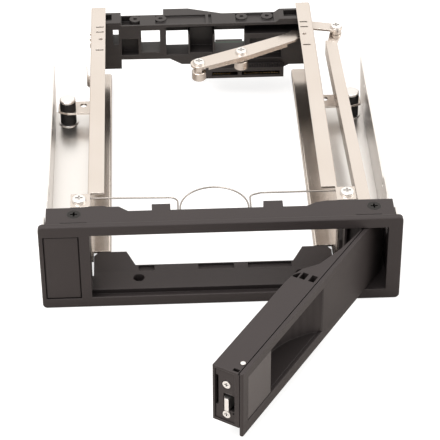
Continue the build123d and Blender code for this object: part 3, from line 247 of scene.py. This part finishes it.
def finish_of(name, dark, light, metal, rough, grain, bump, edge, radius, lean=0.5, shade=0.45):
    """A material of this rack: colour from dark to light by cloud, a painted highlight on edges,
    painted shade in corners.

    Rough is a range, grain is (scale, stretch), bump is (strength, distance), edge is
    (painted highlight colour, amount), lean is the specular level and shade the share of colour kept
    in the painted corner shade.
    """
    made = bpy.data.materials.new(name)
    made.use_nodes = True
    tree = made.node_tree
    shader = tree.nodes["Principled BSDF"]
    shader.inputs["Metallic"].default_value = metal
    shader.inputs["Specular IOR Level"].default_value = lean
    marks = tree.nodes.new("ShaderNodeGroup")
    marks.node_tree = grain_and_painted_light
    marks.inputs["Grain Scale"].default_value = grain[0]
    marks.inputs["Stretch"].default_value = grain[1]
    marks.inputs["Edge Radius"].default_value = radius
    tint = tree.nodes.new("ShaderNodeMix")
    tint.data_type = "RGBA"
    tint.inputs["A"].default_value = (*dark, 1)
    tint.inputs["B"].default_value = (*light, 1)
    tree.links.new(marks.outputs["Cloud"], tint.inputs["Factor"])
    # Painted highlight: the edge colour is mixed in on rounded edges where light would catch them.
    painted_edge_highlight = tree.nodes.new("ShaderNodeMix")
    painted_edge_highlight.data_type = "RGBA"
    painted_edge_highlight.inputs["B"].default_value = (*edge[0], 1)
    amount = tree.nodes.new("ShaderNodeMath")
    amount.operation = "MULTIPLY"
    amount.inputs[1].default_value = edge[1]
    tree.links.new(marks.outputs["Edge"], amount.inputs[0])
    tree.links.new(amount.outputs[0], painted_edge_highlight.inputs["Factor"])
    tree.links.new(tint.outputs["Result"], painted_edge_highlight.inputs["A"])
    # Painted shade: where the occlusion mask is low, in corners, creases and recesses, the colour
    # falls to dark times shade.
    painted_corner_shade = tree.nodes.new("ShaderNodeMix")
    painted_corner_shade.data_type = "RGBA"
    painted_corner_shade.inputs["A"].default_value = (*(c * shade for c in dark), 1)
    reach = tree.nodes.new("ShaderNodeMapRange")
    reach.inputs["From Min"].default_value = 0.25
    reach.inputs["From Max"].default_value = 0.80
    tree.links.new(marks.outputs["Open"], reach.inputs["Value"])
    tree.links.new(reach.outputs[0], painted_corner_shade.inputs["Factor"])
    tree.links.new(painted_edge_highlight.outputs["Result"], painted_corner_shade.inputs["B"])
    tree.links.new(painted_corner_shade.outputs["Result"], shader.inputs["Base Color"])
    gloss_range = tree.nodes.new("ShaderNodeMapRange")
    gloss_range.inputs["To Min"].default_value = rough[0]
    gloss_range.inputs["To Max"].default_value = rough[1]
    tree.links.new(marks.outputs["Cloud"], gloss_range.inputs["Value"])
    tree.links.new(gloss_range.outputs[0], shader.inputs["Roughness"])
    relief = tree.nodes.new("ShaderNodeBump")
    relief.inputs["Strength"].default_value = bump[0]
    relief.inputs["Distance"].default_value = bump[1]
    tree.links.new(marks.outputs["Grain"], relief.inputs["Height"])
    tree.links.new(marks.outputs["Normal"], relief.inputs["Normal"])
    tree.links.new(relief.outputs[0], shader.inputs["Normal"])
    return made


def dress(names, made):
    """Gives CAD nodes a finish."""
    for name in names:
        node[name].data.materials.clear()
        node[name].data.materials.append(made)


nickel = finish_of(
    "nickel_plating", (0.665, 0.60, 0.545), (0.76, 0.71, 0.67), 1.0, (0.16, 0.30),
    (1400.0, 0.02), (0.10, 0.0001), ((0.96, 0.93, 0.89), 0.5), 0.0003, shade=0.7,
)
dress(["rail_left", "rail_right"], nickel)

# Outer brackets: the same sheet, a low side wall and a shelf with the rubber dampers, in
# a smoother and whiter plating than the rails.
bright = finish_of(
    "bright_plating", (0.88, 0.865, 0.85), (0.94, 0.93, 0.92), 1.0, (0.24, 0.34),
    (1100.0, 0.05), (0.05, 0.0001), ((0.95, 0.94, 0.93), 0.5), 0.0003, shade=0.75,
)
dress(["bracket_left", "bracket_right"], bright)

# Rubber dampers, with nickel caps and washers.
rubber = finish_of(
    "damper_rubber", (0.012, 0.011, 0.011), (0.022, 0.02, 0.02), 0.0, (0.55, 0.75),
    (2400.0, 1.0), (0.25, 0.0001), ((0.04, 0.038, 0.036), 0.5), 0.0004,
)
dress(["dampers", "drive_pads"], rubber)
dress(["damper_caps", "damper_washers"], bright)

# Rear crosspiece: one moulding in black ABS with windows, bosses and a slot for the lever.
# The moulded edges are rounded on a merged copy.


def rounded_copy(name, label, body, made, width):
    """A CAD node's shape with merged corners and rounded edges, shown in its place."""
    merge_reach = 0.000002
    flat_angle = math.radians(0.5)
    edge_angle = math.radians(40)
    work = bmesh.new()
    work.from_mesh(node[name].data)
    work.transform(node[name].matrix_world)
    bmesh.ops.remove_doubles(work, verts=work.verts, dist=merge_reach)
    bmesh.ops.dissolve_limit(work, angle_limit=flat_angle, verts=work.verts, edges=work.edges)
    bmesh.ops.recalc_face_normals(work, faces=work.faces)
    shape = bpy.data.meshes.new(label)
    work.to_mesh(shape)
    work.free()
    shape.materials.append(made)
    piece = bpy.data.objects.new(label, shape)
    bpy.context.scene.collection.objects.link(piece)
    soft_edge = piece.modifiers.new("soft_edge", "BEVEL")
    soft_edge.width = width
    soft_edge.segments = 2
    soft_edge.limit_method = "ANGLE"
    soft_edge.angle_limit = edge_angle
    soft_edge.harden_normals = True
    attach(piece, body)
    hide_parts(name)
    return piece


black_abs = finish_of(
    "black_abs", (0.024, 0.020, 0.020), (0.036, 0.031, 0.030), 0.0, (0.38, 0.55),
    (2600.0, 1.0), (0.22, 0.0001), ((0.075, 0.068, 0.064), 0.6), 0.0004,
)
dress(["crosspiece", "drive_connector", "rear_sockets"], black_abs)
dress(["crosspiece_screws"], nickel)
crosspiece_edge = 0.00022
rounded_copy("crosspiece", "crosspiece_moulding", "frame", black_abs, crosspiece_edge)

# Contacts of the drive connector: gilt blades in its two slots.
gilt = finish_of(
    "gilt_contact", (0.78, 0.55, 0.26), (0.88, 0.66, 0.34), 1.0, (0.18, 0.28),
    (2000.0, 1.0), (0.08, 0.0001), ((0.95, 0.78, 0.45), 0.4), 0.0001, shade=0.6,
)
blade_size = (0.0007, 0.0048, 0.0003)
blade_pitch = 0.00127
blade_edge = 0.00008
blade_mid_y = 0.1601
blade_mid_z = 0.01228
blade_rows = ((0.0030, 7), (0.0182, 15))
blades = bmesh.new()
for first_x, count in blade_rows:
    for i in range(count):
        blade = bmesh.ops.create_cube(blades, size=1.0)["verts"]
        bmesh.ops.scale(blades, verts=blade, vec=blade_size)
        bmesh.ops.translate(
            blades, verts=blade, vec=(first_x + i * blade_pitch, blade_mid_y, blade_mid_z)
        )
bmesh.ops.bevel(
    blades, geom=blades.edges[:], offset=blade_edge, offset_type="OFFSET", segments=1,
    profile=0.5, affect="EDGES", material=-1,
)
blade_mesh = bpy.data.meshes.new("connector_contacts")
blades.to_mesh(blade_mesh)
blades.free()
blade_mesh.materials.append(gilt)
contacts = bpy.data.objects.new("connector_contacts", blade_mesh)
bpy.context.scene.collection.objects.link(contacts)
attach(contacts, "frame")

# Circuit board with the sockets.
board = finish_of(
    "board_mask", (0.010, 0.05, 0.026), (0.016, 0.075, 0.04), 0.0, (0.25, 0.4),
    (1800.0, 1.0), (0.12, 0.0001), ((0.3, 0.24, 0.12), 0.6), 0.0002,
)
dress(["backplane"], board)

# Bezel, blank panel and door: charcoal ABS with a fine spark texture.
charcoal = finish_of(
    "charcoal_abs", (0.036, 0.0295, 0.0295), (0.047, 0.039, 0.039), 0.0, (0.42, 0.58),
    (3000.0, 1.0), (0.30, 0.0001), ((0.10, 0.089, 0.088), 0.5), 0.0005, lean=0.28, shade=0.62,
)
dress(["bezel", "blank_panel", "door_shell", "door_plate", "end_cap"], charcoal)
case_edge = 0.00028
cap_edge = 0.00012
for name, label, body, width in (
    ("bezel", "bezel_moulding", "frame", case_edge),
    ("blank_panel", "blank_panel_moulding", "frame", case_edge),
    ("door_shell", "door_shell_moulding", "door", case_edge),
    ("door_plate", "door_plate_moulding", "door", case_edge),
    ("end_cap", "end_cap_moulding", "door", cap_edge),
):
    rounded_copy(name, label, body, charcoal, width)

# Latch button: the same plastic in a lighter tone than the bezel.
button_abs = finish_of(
    "button_abs", (0.058, 0.049, 0.049), (0.070, 0.060, 0.060), 0.0, (0.34, 0.48),
    (3000.0, 1.0), (0.22, 0.0001), ((0.13, 0.12, 0.115), 0.5), 0.0005,
)
dress(["latch_button"], button_abs)
button_edge = 0.00035
rounded_copy("latch_button", "button_moulding", "button", button_abs, button_edge)

# Bezel screws: black oxide, in the bezel's top.
black_screw = finish_of(
    "black_oxide", (0.016, 0.015, 0.015), (0.03, 0.028, 0.027), 0.6, (0.3, 0.45),
    (2000.0, 1.0), (0.15, 0.0001), ((0.14, 0.13, 0.12), 0.5), 0.0002,
)
dress(["bezel_screws"], black_screw)

# Retention wire: drawn spring steel.
drawn = finish_of(
    "drawn_wire", (0.30, 0.27, 0.25), (0.46, 0.43, 0.40), 1.0, (0.2, 0.3),
    (2000.0, 1.0), (0.1, 0.0001), ((0.7, 0.68, 0.65), 0.3), 0.0001,
)
dress(["retention_wire"], drawn)

# Turned pins, screws and the ejector linkage.
dress(["crank_pin", "lever", "pusher_posts", "link_pin", "lever_pivot", "link_bar"], nickel)
dress(["rail_screws", "hinge_pin", "end_screws", "button_pin", "lever_screws", "latch_hook"], bright)

size = {"cad": [list(v) for v in cad_box], "visual": [list(v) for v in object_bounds()]}
